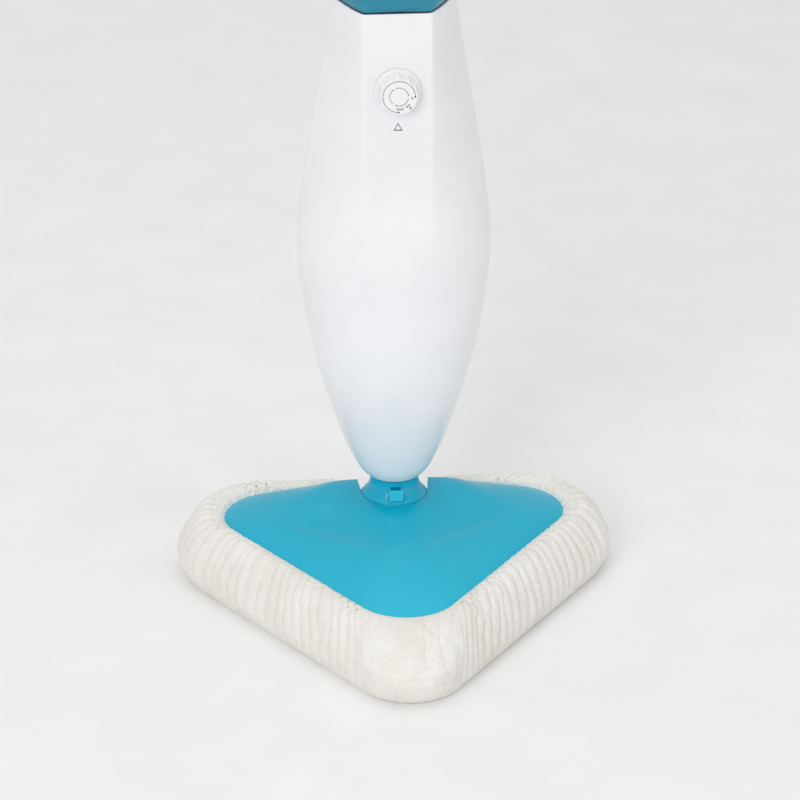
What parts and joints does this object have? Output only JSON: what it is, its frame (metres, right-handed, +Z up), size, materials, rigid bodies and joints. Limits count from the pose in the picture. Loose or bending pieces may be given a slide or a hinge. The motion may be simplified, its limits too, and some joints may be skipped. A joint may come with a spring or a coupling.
{
  "type": "steam mop",
  "caption": "Upright steam mop with a triangular cloth-covered head, ball-jointed neck, bulbous body with steam knob, lift-off water tank, pole and loop handle.",
  "frame": {"origin": "on the floor, under the vertical axis of the neck", "axes": "+Z up along the upright body and pole, -Y towards the nose of the triangular head, +X to the right seen from the front"},
  "size_m": [0.3108, 0.2708, 1.1956],
  "materials": {
    "white_gloss": "glossy white ABS",
    "aqua": "satin-gloss aqua ABS",
    "light_aqua": "lighter aqua ABS",
    "clear_blue": "clear blue moulded tank",
    "pad_cloth": "gathered off-white microfibre terry",
    "elastic": "woven elastic",
    "pole_silver": "satin anodised tube",
    "cast_alloy": "as cast",
    "steel": "zinc plated",
    "brass_part": "turned brass",
    "black_plastic": "moulded",
    "grey_plastic": "moulded",
    "silicone": "translucent silicone",
    "dark_rubber": "matt"
  },
  "bodies": {
    "head": {"head_cover": "aqua", "head_base": "white_gloss", "head_screws": "steel", "hinge_bracket": "grey_plastic", "bracket_screws": "steel", "tilt_pin": "steel", "steam_elbow": "brass_part", "steam_nozzle": "grey_plastic", "nozzle_seal": "silicone", "mop_pad": "pad_cloth", "pad_elastic": "elastic"},
    "ball": {"tilt_ball": "aqua", "swivel_hose": "silicone"},
    "upright": {"neck_socket": "aqua", "neck_ring": "aqua", "latch_spring": "steel", "swivel_clip": "steel", "swivel_seal": "silicone", "body_spigot": "grey_plastic", "spigot_seal": "silicone", "front_shell": "white_gloss", "rear_shell": "white_gloss", "shell_screws": "steel", "cord_gland": "dark_rubber", "tank_seat": "white_gloss", "inlet_seal": "silicone", "steam_valve": "brass_part", "pump": "black_plastic", "boiler": "cast_alloy", "boiler_bracket": "steel", "boiler_screws": "steel", "thermostat": "black_plastic", "thermal_fuse": "steel", "terminal_block": "grey_plastic", "water_hose": "silicone", "feed_hose": "silicone", "valve_hose": "silicone", "steam_hose": "silicone", "pole_socket": "grey_plastic", "lower_pole": "pole_silver", "upper_pole": "pole_silver", "pole_coupling": "white_gloss", "snap_spring": "steel", "handle_left": "white_gloss", "handle_right": "white_gloss", "handle_screws": "steel", "grip_pad": "dark_rubber", "lower_cord_hook": "white_gloss", "hook_collar": "white_gloss", "hook_screw": "steel"},
    "button": {"release_button": "light_aqua"},
    "knob": {"steam_knob": "white_gloss", "valve_spindle": "steel"},
    "tank": {"water_tank": "clear_blue", "valve_spring": "steel"},
    "cap_follower": {"cap_seal": "silicone"},
    "cap": {"tank_cap": "white_gloss"},
    "outlet_valve": {"tank_valve": "grey_plastic"},
    "snap": {"snap_button": "light_aqua"},
    "cord_hook": {"upper_cord_hook": "aqua"}
  },
  "joints": [
    {"name": "head_tilt", "type": "hinge", "parent": "head", "child": "ball", "pos_m": [0, 0, 0.046], "axis": [-1, 0, 0], "range_deg": [0, 65]},
    {"name": "neck_swivel", "type": "hinge", "parent": "ball", "child": "upright", "pos_m": [0, 0, 0.0648], "axis": [0, 0, 1], "range_deg": [-90, 90]},
    {"name": "button_press", "type": "slide", "parent": "upright", "child": "button", "axis": [0, 1, 0], "range_m": [0, 0.002], "stiffness_N_per_m": 800, "springref_m": -0.001, "deforming": ["latch_spring"]},
    {"name": "knob_turn", "type": "hinge", "parent": "upright", "child": "knob", "pos_m": [0, -0.03985, 0.395], "axis": [0, 0.9976, -0.0698], "range_deg": [0, 92]},
    {"name": "tank_lift", "type": "slide", "parent": "upright", "child": "tank", "axis": [0, 0, 1], "range_m": [0, 0.03]},
    {"name": "cap_rise", "type": "slide", "parent": "tank", "child": "cap_follower", "axis": [0, 0, 1], "range_m": [0, 0.004]},
    {"name": "cap_turn", "type": "hinge", "parent": "cap_follower", "child": "cap", "pos_m": [0, -0.0115, 0.601], "axis": [0, 0, 1], "range_deg": [0, 360]},
    {"name": "outlet_valve_lift", "type": "slide", "parent": "tank", "child": "outlet_valve", "axis": [0, 0, 1], "range_m": [0, 0.003], "stiffness_N_per_m": 100, "springref_m": -0.002, "deforming": ["valve_spring"]},
    {"name": "snap_press", "type": "slide", "parent": "upright", "child": "snap", "axis": [0, -1, 0], "range_m": [0, 0.003], "stiffness_N_per_m": 500, "springref_m": -0.001, "deforming": ["snap_spring"]},
    {"name": "hook_turn", "type": "hinge", "parent": "upright", "child": "cord_hook", "pos_m": [0, 0.014, 1.008], "axis": [0, 1, 0], "range_deg": [0, 180]}
  ],
  "couplings": [
    {"joint": "cap_rise", "follows": "cap_turn", "m_per_rad": 0.00063656}
  ]
}
